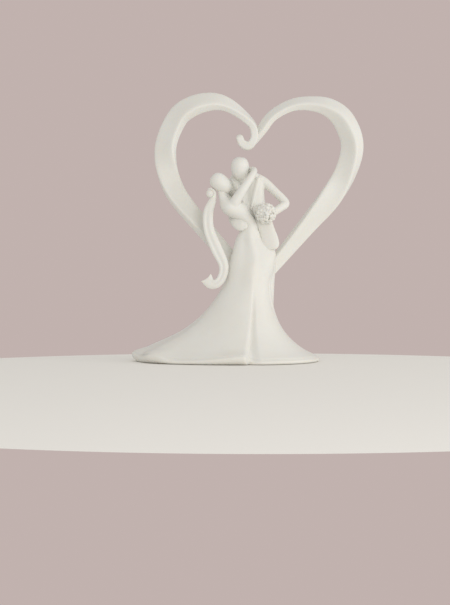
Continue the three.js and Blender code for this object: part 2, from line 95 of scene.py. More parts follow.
def pullRing(bm, ring):
    # extrudes a ring and returns the new one in the same order
    edges = [bm.edges.get((ring[i - 1], ring[i])) for i in range(len(ring))]
    made = bmesh.ops.extrude_edge_only(bm, edges=edges)["geom"]
    fresh = {v for v in made if isinstance(v, bmesh.types.BMVert)}
    return [next(e.other_vert(v) for e in v.link_edges if e.other_vert(v) in fresh) for v in ring]


def closeHoles(bm):
    # flat caps with a crisp rim
    rims = [e for e in bm.edges if e.is_boundary]
    for face in bmesh.ops.holes_fill(bm, edges=rims, sides=0)["faces"]:
        for edge in face.edges:
            edge.smooth = False


def sectionFrame(rows, t, shift=0, scale=1):
    # rows hold x, y, z, half breadth, half thickness and roll in degrees
    row = through(rows, t)
    tangent = throughTangent(rows, t)
    inward = Vector((0, 1, 0)).cross(tangent).normalized()
    back = tangent.cross(inward)
    roll = radians(row[5]) if len(row) > 5 else 0
    across = (inward * cos(roll) - back * sin(roll)) * row[3] * scale
    deep = (inward * sin(roll) + back * cos(roll)) * row[4] * scale
    centre = Vector(row[:3]) + tangent * shift * min(row[3], row[4])
    return centre, across, deep, tangent


def sectionsOf(rows, steps, roundStart, roundEnd):
    # places along the path, with rounded ends that close to a small ring
    arcs = (86, 74, 62, 50, 38, 26, 13)
    places = [(0, -roundStart * sin(radians(a)), cos(radians(a))) for a in arcs if roundStart]
    places += [(i / steps, 0, 1) for i in range(steps + 1)]
    places += [(1, roundEnd * sin(radians(a)), cos(radians(a))) for a in reversed(arcs) if roundEnd]
    return places


def sweepForm(rows, steps=60, sides=32, fullness=2, roundStart=0.8, roundEnd=0.8, shape=None):
    # a rounded oval section pulled along the rows; shape may change a point of the section
    bm = bmesh.new()
    ring = bmesh.ops.create_circle(bm, segments=sides, radius=1)["verts"]
    oval = []
    for v in ring:
        u = abs(v.co.x) ** (2 / fullness) * (1 if v.co.x > 0 else -1)
        w = abs(v.co.y) ** (2 / fullness) * (1 if v.co.y > 0 else -1)
        oval.append((u, w))
    for number, (t, shift, scale) in enumerate(sectionsOf(rows, steps, roundStart, roundEnd)):
        if number:
            ring = pullRing(bm, ring)
        centre, across, deep, tangent = sectionFrame(rows, t, shift, scale)
        for v, (u, w) in zip(ring, oval):
            along = 0
            if shape:
                u, w, along = shape(t, u, w, scale)
            v.co = centre + across * u + deep * w + tangent * along
    closeHoles(bm)
    return bm


def meshOf(bm, name):
    mesh = bpy.data.meshes.new(name)
    bm.to_mesh(mesh)
    bm.free()
    return mesh


def fuse(forms, voxel, rounds):
    # several closed forms become one skin, soft where they meet
    joined = bmesh.new()
    for form in forms:
        mesh = meshOf(form, "form")
        joined.from_mesh(mesh)
        bpy.data.meshes.remove(mesh)
    bmesh.ops.recalc_face_normals(joined, faces=joined.faces)
    blank = bpy.data.objects.new("blank", meshOf(joined, "blank"))
    scene.collection.objects.link(blank)
    remesh = blank.modifiers.new("fuse", "REMESH")
    remesh.mode = "VOXEL"
    remesh.voxel_size = voxel
    skin = bmesh.new()
    skin.from_object(blank, bpy.context.evaluated_depsgraph_get())
    bpy.data.objects.remove(blank)
    for _ in range(rounds):
        bmesh.ops.smooth_vert(
            skin, verts=skin.verts, factor=0.5, use_axis_x=True, use_axis_y=True, use_axis_z=True
        )
    return skin


def keepSide(bm, place, normal):
    # keeps what lies on the normal's side of a plane, and closes the cut
    # points close to the plane count as on it, so that the rim is one clean ring
    geom = bm.verts[:] + bm.edges[:] + bm.faces[:]
    bmesh.ops.bisect_plane(bm, geom=geom, dist=1e-3, plane_co=place, plane_no=normal, clear_inner=True)
    closeHoles(bm)
    return bm


def partAt(bm, place, normal, reach):
    # parts the skin along the ring where a plane meets it near a joint, and takes off the normal's side
    place, normal = Vector(place), Vector(normal).normalized()
    near = [f for f in bm.faces if (f.calc_center_median() - place).length < reach]
    edges = list({e for f in near for e in f.edges})
    verts = list({v for f in near for v in f.verts})
    cut = bmesh.ops.bisect_plane(bm, geom=verts + edges + near, plane_co=place, plane_no=normal)["geom_cut"]
    ring = [g for g in cut if isinstance(g, bmesh.types.BMEdge)]
    bmesh.ops.split_edges(bm, edges=ring)
    closeHoles(bm)
    beyond = 0.2
    seeds = [v for v in bm.verts if (v.co - place).length < reach and (v.co - place).dot(normal) > beyond]
    seed = min(seeds, key=lambda v: (v.co - place).length)
    island, edge = {seed}, [seed]
    while edge:
        v = edge.pop()
        for e in v.link_edges:
            other = e.other_vert(v)
            if other not in island:
                island.add(other)
                edge.append(other)
    bm.verts.index_update()
    numbers = {v.index for v in island}
    taken = bm.copy()
    taken.verts.ensure_lookup_table()
    bmesh.ops.delete(taken, geom=[v for v in taken.verts if v.index not in numbers], context="VERTS")
    bmesh.ops.delete(bm, geom=list(island), context="VERTS")
    return taken


def rowsOf(line, halves):
    return [[*place, *half] for place, half in zip(line, halves)]


def limbRows(line, *runs):
    # a run is a radius and the shares of it that follow one another along the line
    radii = [share * radius for radius, shares in runs for share in shares]
    return rowsOf(line, [(radius, radius) for radius in radii])


# Bisque: warm white unglazed porcelain with a fine grain and a little depth.
bisqueFinish = {
    "pale": (0.8, 0.79, 0.745, 1),
    "warm": (0.785, 0.768, 0.712, 1),
    "cloudScale": 55,  # soft patches, about 18 mm
    "cloudDetail": 3,
    "cloudSpread": (0.3, 0.62),
    "grainScale": 2600,  # clay grain, about 0.4 mm
    "grainDetail": 2,
    "roughness": (0.44, 0.56),
    "grainDepth": 0.00002,
    "waveScale": 190,  # hand-smoothed unevenness, about 5 mm
    "waveDetail": 1,
    "waveDepth": 0.00008,
    "depth": 0.1,  # share of the light that travels under the surface
    "depthRadius": (1.5, 1.1, 0.75),
    "gloss": 0.35,
}


def makeBisque():
    made = bpy.data.materials.new("bisque")
    made.use_nodes = True
    tree = made.node_tree
    shader = tree.nodes["Principled BSDF"]
    link = tree.links.new
    place = tree.nodes.new("ShaderNodeTexCoord").outputs["Object"]

    def noise(scale, detail):
        node = tree.nodes.new("ShaderNodeTexNoise")
        node.inputs["Scale"].default_value = scale
        node.inputs["Detail"].default_value = detail
        link(place, node.inputs["Vector"])
        return node.outputs["Fac"]

    clouds = noise(bisqueFinish["cloudScale"], bisqueFinish["cloudDetail"])
    grain = noise(bisqueFinish["grainScale"], bisqueFinish["grainDetail"])
    waves = noise(bisqueFinish["waveScale"], bisqueFinish["waveDetail"])
    tone = tree.nodes.new("ShaderNodeMix")
    tone.data_type = "RGBA"  # its colour sockets are inputs 6 and 7 and output 2
    tone.inputs[6].default_value = bisqueFinish["warm"]
    tone.inputs[7].default_value = bisqueFinish["pale"]
    spread = tree.nodes.new("ShaderNodeMapRange")
    low, high = bisqueFinish["cloudSpread"]
    spread.inputs["From Min"].default_value = low
    spread.inputs["From Max"].default_value = high
    link(clouds, spread.inputs["Value"])
    link(spread.outputs["Result"], tone.inputs[0])
    link(tone.outputs[2], shader.inputs["Base Color"])
    rough = tree.nodes.new("ShaderNodeMapRange")
    smooth, coarse = bisqueFinish["roughness"]
    rough.inputs["To Min"].default_value = smooth
    rough.inputs["To Max"].default_value = coarse
    link(grain, rough.inputs["Value"])
    link(rough.outputs["Result"], shader.inputs["Roughness"])
    wave = tree.nodes.new("ShaderNodeBump")
    wave.inputs["Distance"].default_value = bisqueFinish["waveDepth"]
    link(waves, wave.inputs["Height"])
    fine = tree.nodes.new("ShaderNodeBump")
    fine.inputs["Distance"].default_value = bisqueFinish["grainDepth"]
    link(grain, fine.inputs["Height"])
    link(wave.outputs["Normal"], fine.inputs["Normal"])
    link(fine.outputs["Normal"], shader.inputs["Normal"])
    shader.inputs["Subsurface Weight"].default_value = bisqueFinish["depth"]
    shader.inputs["Subsurface Radius"].default_value = bisqueFinish["depthRadius"]
    shader.inputs["Subsurface Scale"].default_value = mm
    shader.inputs["Specular IOR Level"].default_value = bisqueFinish["gloss"]
    return made


bisque = makeBisque()
print("finish: bisque")


def addPiece(bm, node):
    bmesh.ops.remove_doubles(bm, verts=bm.verts, dist=1e-4)
    bmesh.ops.recalc_face_normals(bm, faces=bm.faces)
    bmesh.ops.scale(bm, vec=(mm, mm, mm), verts=bm.verts)
    for face in bm.faces:
        face.smooth = True
    words = node.split("_")
    name = words[0] + "".join(word.title() for word in words[1:])
    mesh = meshOf(bm, name)
    mesh.materials.append(bisque)
    piece = bpy.data.objects.new(name, mesh)
    scene.collection.objects.link(piece)
    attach(piece, "root")
    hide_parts(node)


# Gown and bodice: one skin from the hem to the neck, parted at the waist.
# A line is a heading in degrees round the axis: 0 to the right, 180 to the left, 270 to the front.
gown = {
    "axis": 1.5,
    "heights": (3, 8, 17, 28, 42, 56, 68),
    "left": (66.6, 58, 38.8, 25.2, 15.6, 11.4, 8.2),
    "right": (38.8, 28, 18.9, 13.8, 11.6, 13.4, 7.1),
    "front": (35.02, 29, 21.7, 16.4, 12.6, 10.4, 7.6),
    "back": (32.98, 27, 17.8, 10.8, 6.0, 4.2, 3.6),
    "hemHeight": 2.4,
    "hemInset": 1.4,
    "hemTuck": 0.9,  # how far the underside draws in where the hem is lifted, as a share of the lift
    "hemArcs": (-90, 70, 10),  # the half-round edge, from, to and in steps of so many degrees
    "hemFolds": (0.7, -90, -20),  # share of the folds at the foot, and the arc over which they grow to full
    "tip": (180, 2.9, 14),  # the train's tip: line, lift of the hem, width
    "frontLine": 270,
    "frontFold": (2.4, 2.6, 46),  # depth, lift of the hem, height where it ends
    "frontLift": (268, 15, 3),  # line where the hem is lifted most, widths to its left and right
    "frontLean": (10.5, 1.7, -1.55),  # degrees gained by its top, how they build up, degrees at the hem
    "frontLeanReach": 55,
    "frontRise": -46,  # where the cloth starts to rise to the fold
    "frontEdge": (-2.2, 0.4),  # the fold's shoulder and foot at the hem
    "frontEdgeMove": (-4.5, 1),  # how far they have moved by the fold's top
    "frontDrop": 2.6,  # how late the cloth drops from the shoulder to the foot
    "frontValley": (0.85, 10),  # beside the foot: depth as a share of the fold's, and width
    "trainLine": 210,
    "trainFold": (2.8, 2.8, 32),
    "trainLift": 11,  # width of the lifted hem
    "trainLean": (7, -12.8, 28),  # degrees at the hem, degrees gained by its top, reach
    "trainWidths": (9, 21),  # to its left and right
    "trainValley": (193, 0.5, 9),  # line, depth as a share of the fold's, width
    "drape": ((240, -0.6, 13), (267, 0.65, 11)),  # soft valley and ridge below the waist: line, depth, width
    "drapeSpan": (30, 46, 66, 76),
    "crease": (340, 0.9, 6),  # line, depth, width
    "creaseSpan": (24, 34, 42, 52),
    "waist": 68,
    "hip": (2.8, 6, 30, 62, 7),  # right hip below the waist: depth, line and width, height and reach
    "blend": (44, 58),  # where the skirt turns into the bodice's rounder section
    "bodyStations": (4.5, 5, 5.5, 6),  # places in the rows above where the bodice's sections start
    # how many lines run up the cloth between two headings, closest along the front fold
    "lines": ((0, 182, 64), (182, 228, 48), (228, 262, 26), (262, 284, 66), (284, 360, 40)),
    "skirtSteps": 84,
    "bodySteps": 12,
}
bodice = {
    "line": (
        (1.3, -2.4, 72.3), (1.7, -2.8, 76.6), (-1.2, -3.4, 80.3), (-4.8, -4.2, 83.8),
        (-10.6, -4.6, 86.6), (-13.3, -4.6, 90.4), (-14.3, -4.4, 94.4), (-14.8, -4.4, 99.3),
    ),
    "halves": (
        (5.6, 5.3), (3.4, 4.6), (3.7, 4.9), (5.1, 5.6), (4.7, 6.2), (2.7, 2.9), (2.45, 2.4), (2.2, 2.2),
    ),
    "fullness": 2.1,
    "leanReach": 10,  # sections are level at the waist and lean fully this far above it
}


def turnFrom(heading, angle):
    return (angle - heading + 540) % 360 - 180


def gownHeading(line, height):
    # the lines near the two folds follow them as they lean
    rise = min(height / gown["frontFold"][2], 1)
    gain, power, start = gown["frontLean"]
    front = (gain * rise ** power + start) * hump(turnFrom(gown["frontLine"], line) / gown["frontLeanReach"])
    start, gain, reach = gown["trainLean"]
    lean = start + gain * height / gown["trainFold"][2]
    train = lean * hump(turnFrom(gown["trainLine"], line) / reach)
    return radians(line + front + train)


def gownFold(line, height):
    # how far the cloth stands out along one line at a height
    hem = gown["hemHeight"]
    frontDepth, _, frontTop = gown["frontFold"]
    trainDepth, _, trainTop = gown["trainFold"]
    turn, rise = turnFrom(gown["frontLine"], line), height / frontTop
    shoulder, foot = (edge + move * rise for edge, move in zip(gown["frontEdge"], gown["frontEdgeMove"]))
    step = min(max((turn - shoulder) / (foot - shoulder), 0), 1) ** gown["frontDrop"]
    crest = smoothStep(gown["frontRise"], shoulder, turn) * (1 - step)
    share, width = gown["frontValley"]
    valley = -share * step * (1 - smoothStep(foot, foot + width, turn))
    turn = turnFrom(gown["trainLine"], line)
    toLeft, toRight = gown["trainWidths"]
    middle, share, width = gown["trainValley"]
    train = bell(turn, toLeft if turn < 0 else toRight) - share * bell(turnFrom(middle, line), width)
    middle, creaseDepth, width = gown["crease"]
    crease = within(gown["creaseSpan"], height) * creaseDepth * bell(turnFrom(middle, line), width)
    return (
        (1 - smoothStep(hem, frontTop, height)) * frontDepth * (crest + valley)
        + (1 - smoothStep(hem, trainTop, height)) * trainDepth * train
        - crease
    )


def gownDrape(line, height):
    # what shapes the cloth from the knee to the waist
    drape = sum(depth * bell(turnFrom(middle, line), width) for middle, depth, width in gown["drape"])
    depth, middle, width, level, reach = gown["hip"]
    hip = depth * bell(turnFrom(middle, line), width) * hump((height - level) / reach)
    return within(gown["drapeSpan"], height) * drape + hip


def hemEdge(line):
    # the height of the hem's upper edge, which the folds and the tip lift
    middle, toLeft, toRight = gown["frontLift"]
    turn = turnFrom(middle, line)
    front = gown["frontFold"][1] * bell(turn, toLeft if turn < 0 else toRight)
    train = gown["trainFold"][1] * bell(turnFrom(gown["trainLine"], line), gown["trainLift"])
    middle, tipLift, width = gown["tip"]
    return gown["hemHeight"] + front + train + tipLift * bell(turnFrom(middle, line), width)


def hemRise(line, arc):
    # a half-round edge on top of an underside that leans in
    edge, half = hemEdge(line), gown["hemHeight"] / 2
    return edge - half + sin(radians(arc)) * (half if arc > 0 else edge - half)


def gownSize(side, t):
    return through([[size] for size in gown[side]], t)[0]


def gownPoint(line, t, inset=0, foldShare=1):
    height = gownSize("heights", t)
    foldHeight = height if t > 0 else 0
    heading = gownHeading(line, foldHeight)
    out = gownFold(line, foldHeight) * foldShare + gownDrape(line, height) - inset
    spreadX = gownSize("left" if cos(heading) < 0 else "right", t) + out
    spreadY = gownSize("front" if sin(heading) < 0 else "back", t) + out
    first, second = gown["heights"][:2]
    z = height
    if height < second:
        edge = hemEdge(line)
        z = edge + (second - edge) * (height - first) / (second - first)
    return Vector((gown["axis"] + spreadX * cos(heading), spreadY * sin(heading), z))


def bodyRows():
    # the skirt's top stations written as sections, then the bodice and neck
    rows = []
    for station in gown["bodyStations"]:
        t = station / (len(gown["heights"]) - 1)
        left, right, front, back = (gownSize(side, t) for side in ("left", "right", "front", "back"))
        rows.append([gown["axis"] + (right - left) / 2, (back - front) / 2, gownSize("heights", t),
                     (right + left) / 2, (back + front) / 2])
    return rows + rowsOf(bodice["line"], bodice["halves"])


def makeDress():
    lines = []
    for low, high, count in gown["lines"]:
        lines += [low + (high - low) * i / count for i in range(count)]
    bm = bmesh.new()
    ring = bmesh.ops.create_circle(bm, segments=len(lines), radius=1)["verts"]
    firstArc, lastArc, arcStep = gown["hemArcs"]
    footShare, low, high = gown["hemFolds"]
    for arc in range(firstArc, lastArc + 1, arcStep):
        if arc > firstArc:
            ring = pullRing(bm, ring)
        for v, line in zip(ring, lines):
            tuck = gown["hemTuck"] * (hemEdge(line) - gown["hemHeight"]) if arc < 0 else 0
            inset = (gown["hemInset"] + tuck) * (1 - cos(radians(arc)))
            v.co = gownPoint(line, 0, inset, mix(footShare, 1, smoothStep(low, high, arc)))
            v.co.z = hemRise(line, arc)
    rows = bodyRows()
    power = 2 / bodice["fullness"]

    def bodyPoint(t, line):
        centre, across, deep, _ = sectionFrame(rows, t)
        rise = smoothStep(gown["waist"], gown["waist"] + bodice["leanReach"], centre.z)
        across = Vector((across.length, 0, 0)).lerp(across, rise)
        deep = Vector((0, deep.length, 0)).lerp(deep, rise)
        lean = gownHeading(line, gown["frontFold"][2]) - radians(line)
        heading = radians(line) + lean * (1 - rise)
        c, s = cos(heading), sin(heading)
        u = abs(c) ** power * (1 if c > 0 else -1)
        w = abs(s) ** power * (1 if s > 0 else -1)
        out = across * u + deep * w
        return centre + out + out.normalized() * gownDrape(line, centre.z)

    firstBody, nextBody = gown["bodyStations"][:2]
    stations, sections = len(gown["heights"]) - 1, len(rows) - 1
    for i in range(2, gown["skirtSteps"] + 1):  # the hem stands for the first step
        ring = pullRing(bm, ring)
        t = i / gown["skirtSteps"]
        share = smoothStep(*gown["blend"], gownSize("heights", t))
        bodyT = max(0, (t * stations - firstBody) / (nextBody - firstBody)) / sections
        for v, line in zip(ring, lines):
            v.co = gownPoint(line, t)
            if share > 0:
                v.co = v.co.lerp(bodyPoint(bodyT, line), share)
    made = (len(gown["bodyStations"]) - 1) * gown["bodySteps"]
    bodySteps = sections * gown["bodySteps"]
    for i in range(made + 1, bodySteps + 1):
        ring = pullRing(bm, ring)
        for v, line in zip(ring, lines):
            v.co = bodyPoint(i / bodySteps, line)
    closeHoles(bm)
    return bm


dress = makeDress()
addPiece(keepSide(dress.copy(), (0, 0, gown["waist"]), (0, 0, -1)), "gown_skirt")
print("gown")

# The bride's upper body: bodice, neck and both arms, fused and parted at the shoulders.
brideArms = {
    "radius": 2.3,
    "wrist": 1.75,
    "rightLine": (
        (-8.6, -5.2, 84.6), (-7, -8.2, 88.8), (-1.6, -9.2, 97.3),
        (2.3, -7.4, 103.2), (3.6, -2.6, 106.6), (1, 1.6, 107.2),
    ),
    "rightShares": (1.5, 1.34, 1.02, 0.86),
    "rightWrists": (1, 0.9),
    "leftLine": ((-9.6, -0.2, 88.6), (-12.6, 5.5, 94), (-9.2, 9.4, 101), (-2.2, 9.2, 102.4)),
    "leftShares": (1.02, 0.89, 0.77),
    "leftWrists": (0.86,),
    "rightCut": 0.3,  # where each arm is parted from the shoulder, along its line
    "leftCut": 0.34,
    "cutReach": 3.4,
    "voxel": 0.3,
    "rounds": 10,
    "waistSpare": 8,  # the trunk is fused with this much of the skirt below it
    "waistBlend": (1, 9),  # heights above the waist between which the fused skin leaves the dress
    "rimRounds": 5,  # the rim is drawn to the dress and kept level by turns
}


def brideArmRows(side):
    upper = (brideArms["radius"], brideArms[side + "Shares"])
    return limbRows(brideArms[side + "Line"], upper, (brideArms["wrist"], brideArms[side + "Wrists"]))


def makeBrideUpper():
    waist = gown["waist"]
    rightRows, leftRows = brideArmRows("right"), brideArmRows("left")
    trunk = keepSide(dress.copy(), (0, 0, waist - brideArms["waistSpare"]), (0, 0, 1))
    skin = fuse([trunk, sweepForm(rightRows), sweepForm(leftRows)], brideArms["voxel"], brideArms["rounds"])
    skin = keepSide(skin, (0, 0, waist), (0, 0, 1))
    surface = BVHTree.FromBMesh(dress)
    low, high = brideArms["waistBlend"]
    for v in skin.verts:
        share = 1 - smoothStep(waist + low, waist + high, v.co.z)
        rim = v.co.z < waist + 0.01
        for _ in range(brideArms["rimRounds"] if rim else 1 if share > 0 else 0):
            place = surface.find_nearest(v.co)[0]
            if rim:
                place.z = waist
            v.co = v.co.lerp(place, share)
    arms = []
    for rows, cut in ((rightRows, brideArms["rightCut"]), (leftRows, brideArms["leftCut"])):
        arms.append(partAt(skin, through(rows, cut)[:3], throughTangent(rows, cut), brideArms["cutReach"]))
    return [skin] + arms


for form, node in zip(makeBrideUpper(), ("bride_bodice", "bride_right_arm", "bride_left_arm")):
    addPiece(form, node)
print("bodice and arms")

# Heads: plain eggs.
heads = {
    "groom": {"length": 13.2, "width": 9.9, "deep": 1.1, "turn": (190, "X"), "chin": (-4.3, -0.1, 100.9)},
    "bride": {"length": 13.2, "width": 9.5, "deep": 1.04, "turn": (128, "Y"), "middle": (-14.8, -4.4, 99.1)},
    "slimming": 0.12,
    "fullness": 2.3,
}


def makeEgg(head):
    bm = bmesh.new()
    verts = bmesh.ops.create_uvsphere(bm, u_segments=48, v_segments=32, radius=1)["verts"]
    for v in verts:
        rise, full = abs(v.co.z), heads["fullness"]
        slim = 1 - heads["slimming"] * v.co.z
        if 0 < rise < 0.9999:  # not at the poles
            slim *= (1 - rise ** full) ** (1 / full) / (1 - rise ** 2) ** 0.5
        v.co.x *= slim * head["width"] / 2
        v.co.y *= slim * head["width"] / 2 * head["deep"]
        v.co.z *= head["length"] / 2
    if "chin" in head:
        bmesh.ops.translate(bm, vec=(0, 0, -head["length"] / 2), verts=verts)
    angle, axis = head["turn"]
    bmesh.ops.rotate(bm, verts=verts, cent=(0, 0, 0), matrix=Matrix.Rotation(radians(angle), 3, axis))
    bmesh.ops.translate(bm, vec=head.get("chin") or head["middle"], verts=verts)
    return bm


addPiece(makeEgg(heads["groom"]), "groom_head")
addPiece(makeEgg(heads["bride"]), "bride_head")
print("heads")

# The groom: jacket and sleeves are fused and parted at the shoulders.
# Shirt, lapels, tail, neck, hands and trousers follow.
jacket = {
    "line": (
        (8.6, 4.4, 66), (8.2, 4.3, 71), (6.9, 4.2, 78), (3.6, 4, 87),
        (0.4, 4, 96), (-0.3, 4, 101), (0.5, 3.8, 105),
    ),
    "halves": ((7.6, 6.6), (7, 6.3), (6.2, 5.8), (6.7, 5.6), (9.6, 5.4), (9.8, 4.8), (6.8, 3.4)),
    "fullness": 2.3,
    "openingMiddle": -1.4,
    "openingHalf": 6.6,
    "openingTop": 103,
    "openingFoot": (1, 84),
    "openingSlope": 8,  # how far the foot climbs for each unit that the opening shrinks
    "openingReach": 20,
    "shirtInset": 0.2,
    "shirtOverlap": 0.3,
    "shirtHollow": 1.5,
    "shirtDepth": 3,
    "lapelBreadth": 2.2,
    "lapelThickness": 0.9,
    "lapelSeat": 0.2,  # how deep the lapels lie in the cloth, as a share of their thickness
    "lapelOffset": 0.4,  # from the opening's edge, as a share of their breadth
    "lapelFullness": 1.6,
    "lapelSpots": ((0.95, 0.6), (0.68, 0.72), (0.26, 0.54), (0.03, 0.3)),
    "shoulder": 3.2,
    "sleeve": 2.35,
    "leftLine": (
        (6.4, 3.6, 101.4), (9.9, 3.7, 99.7), (15.8, 2.4, 94.3),
        (21.1, 0.6, 88.5), (18.4, -2.2, 85.8), (14.2, -4.6, 83),
    ),
    "leftShoulders": (1, 0.84),
    "leftShares": (1.03, 1, 0.98, 0.94),
    "rightLine": ((-8, 5.5, 98), (-8.5, 8, 87), (-8.2, 5.4, 81.4), (-8.4, 0.6, 78.4)),
    "rightShoulders": (0.9,),
    "rightShares": (1.03, 1, 0.94),
    "cuffRound": 0.3,
    "leftCut": 0.36,  # where each sleeve is parted from the shoulder, along its line
    "rightCut": 0.3,
    "cutReach": 4.2,
    "voxel": 0.3,
    "rounds": 8,
}


def wedge(shrink):
    # the open front: narrow at the button, wide at the neck
    chestY, chestDepth = jacket["line"][4][1], jacket["halves"][4][1]
    half = jacket["openingHalf"] - shrink
    footX, footZ = jacket["openingFoot"]
    bm = bmesh.new()
    back = chestY - chestDepth + jacket["shirtDepth"] - shrink
    middle, top = jacket["openingMiddle"], jacket["openingTop"]
    corners = [(footX, footZ + jacket["openingSlope"] * shrink), (middle + half, top), (middle - half, top)]
    face = bm.faces.new([bm.verts.new((x, back, z)) for x, z in corners])
    made = bmesh.ops.extrude_face_region(bm, geom=[face])["geom"]
    fresh = [v for v in made if isinstance(v, bmesh.types.BMVert)]
    bmesh.ops.translate(bm, vec=(0, -jacket["openingReach"], 0), verts=fresh)
    bmesh.ops.recalc_face_normals(bm, faces=bm.faces)
    return bm


def carve(bm, cutter, operation):
    # cuts or keeps what two forms share
    holder = bpy.data.objects.new("holder", meshOf(bm, "holder"))
    tool = bpy.data.objects.new("tool", meshOf(cutter, "tool"))
    for thing in (holder, tool):
        scene.collection.objects.link(thing)
    boolean = holder.modifiers.new("carve", "BOOLEAN")
    boolean.object = tool
    boolean.operation = operation
    boolean.solver = "EXACT"
    carved = bmesh.new()
    carved.from_object(holder, bpy.context.evaluated_depsgraph_get())
    for thing in (holder, tool):
        bpy.data.objects.remove(thing)
    return carved


def jacketForm(inset):
    halves = [(a - inset, b - inset) for a, b in jacket["halves"]]
    rows = rowsOf(jacket["line"], halves)
    bm = sweepForm(rows, steps=60, sides=64, fullness=jacket["fullness"], roundStart=0.15, roundEnd=0.5)
    bmesh.ops.recalc_face_normals(bm, faces=bm.faces)
    return bm


def sleeveRows(side):
    upper = (jacket["shoulder"], jacket[side + "Shoulders"])
    return limbRows(jacket[side + "Line"], upper, (jacket["sleeve"], jacket[side + "Shares"]))


def makeGroomUpper():
    left, right = sleeveRows("left"), sleeveRows("right")
    body = carve(jacketForm(0), wedge(0), "DIFFERENCE")
    forms = [body] + [sweepForm(rows, roundEnd=jacket["cuffRound"]) for rows in (left, right)]
    skin = fuse(forms, jacket["voxel"], jacket["rounds"])
    sleeves = []
    for rows, cut in ((left, jacket["leftCut"]), (right, jacket["rightCut"])):
        sleeves.append(partAt(skin, through(rows, cut)[:3], throughTangent(rows, cut), jacket["cutReach"]))
    return [skin] + sleeves


def jacketFront(x, z):
    # where the jacket's surface is at a place seen from the front
    line, halves = jacket["line"], jacket["halves"]
    above = next((i for i in range(1, len(line)) if line[i][2] >= z), len(line) - 1)
    share = (z - line[above - 1][2]) / (line[above][2] - line[above - 1][2])
    (middle, y, _), (across, deep) = (
        [mix(a, b, share) for a, b in zip(rows[above - 1], rows[above])] for rows in (line, halves)
    )
    reach = min(abs(x - middle) / across, 0.98)
    return y - deep * (1 - reach ** jacket["fullness"]) ** (1 / jacket["fullness"])


def makeLapel(side):
    footX, footZ = jacket["openingFoot"]
    breadth, thickness = jacket["lapelBreadth"], jacket["lapelThickness"]
    offset = jacket["lapelOffset"] * breadth
    topX = jacket["openingMiddle"] + side * (jacket["openingHalf"] + offset)
    startX = footX + side * offset
    rows = []
    for rise, share in jacket["lapelSpots"]:
        x = mix(startX, topX, rise)
        z = footZ + rise * (jacket["openingTop"] - footZ)
        rows.append([x, jacketFront(x, z) + jacket["lapelSeat"] * thickness, z, share * breadth, thickness])
    return sweepForm(rows, steps=40, sides=32, fullness=jacket["lapelFullness"])


def makeShirt():
    # sits in the opening and dips between the lapels
    bm = carve(jacketForm(jacket["shirtInset"]), wedge(-jacket["shirtOverlap"]), "INTERSECT")
    footX, footZ = jacket["openingFoot"]
    back = max(v.co.y for v in bm.verts)
    for v in bm.verts:
        rise = max((v.co.z - footZ) / (jacket["openingTop"] - footZ), 0.02)
        middle = mix(footX, jacket["openingMiddle"], rise)
        half = jacket["openingHalf"] * rise
        full = min(rise * 3, 1)  # from a third of the way up
        dip = jacket["shirtHollow"] * hump((v.co.x - middle) / half) * full
        v.co.y += min(dip, 0.8 * (back - v.co.y))  # never through to the back
    return bm


for form, node in zip(makeGroomUpper(), ("groom_jacket", "groom_left_sleeve", "groom_right_sleeve")):
    addPiece(form, node)
addPiece(makeShirt(), "groom_shirt_front")
addPiece(makeLapel(1), "groom_left_lapel")
addPiece(makeLapel(-1), "groom_right_lapel")

jacketTail = {
    "line": (
        (6.6, -2.9, 86), (8.6, -3.6, 79.5), (10.7, -4.3, 73),
        (12.2, -4.8, 68.4), (12.9, -4.9, 65.2), (13.1, -4.8, 63.4),
    ),
    "shares": (0.46, 0.47, 0.47, 0.5, 0.5, 0.42),
    "roll": -8,
    "breadth": 9.4,
    "thickness": 3.4,
    "fullness": 2.5,
}


def makeJacketTail():
    breadth, thickness = jacketTail["breadth"], jacketTail["thickness"]
    halves = [(share * breadth, thickness / 2, jacketTail["roll"]) for share in jacketTail["shares"]]
    return sweepForm(rowsOf(jacketTail["line"], halves), steps=40, sides=40, fullness=jacketTail["fullness"])


addPiece(makeJacketTail(), "groom_jacket_tail")

neck = {
    "line": ((-1.8, 3.4, 97), (-3, 1, 101.5), (-4.3, -1.4, 107.4)),
    "radius": 2.7,
    "shares": (1, 1, 1),
}
addPiece(sweepForm(limbRows(neck["line"], (neck["radius"], neck["shares"]))), "groom_neck")

hands = {
    "width": 4.8,
    "thickness": 4.8,
    "rightLine": ((-8.4, 0.6, 78.4), (-6.8, -4.1, 77.5), (-3.9, -6.2, 76), (-1.3, -6.9, 75.8)),
    "rightShares": ((0.38, 0.38), (0.58, 0.44), (0.7, 0.46), (0.46, 0.36)),
    "rightFullness": 2.3,
    "leftLine": ((14.2, -4.6, 83), (12, -6.6, 81.4), (9.7, -8, 82.7)),
    "leftShares": (0.8, 0.9, 0.9),  # of the sleeve
}


def makeRightHand():
    halves = [(a * hands["thickness"], b * hands["width"]) for a, b in hands["rightShares"]]
    return sweepForm(rowsOf(hands["rightLine"], halves), steps=40, sides=36, fullness=hands["rightFullness"])


addPiece(makeRightHand(), "groom_right_hand")
addPiece(sweepForm(limbRows(hands["leftLine"], (jacket["sleeve"], hands["leftShares"]))), "groom_left_hand")

trousers = {
    "line": ((6.6, 5.6, 14), (7, 5.6, 28), (7.3, 5.2, 44), (8, 4.8, 58), (8.3, 4.4, 70)),
    "halves": ((8, 6.8), (7.6, 6.4), (7.9, 6.2), (8, 6.4), (5.4, 4.4)),
    "fullness": 2.2,
    "grooveDepth": 2.2,  # between the legs, at the back
    "grooveBreadth": 1.8,
}


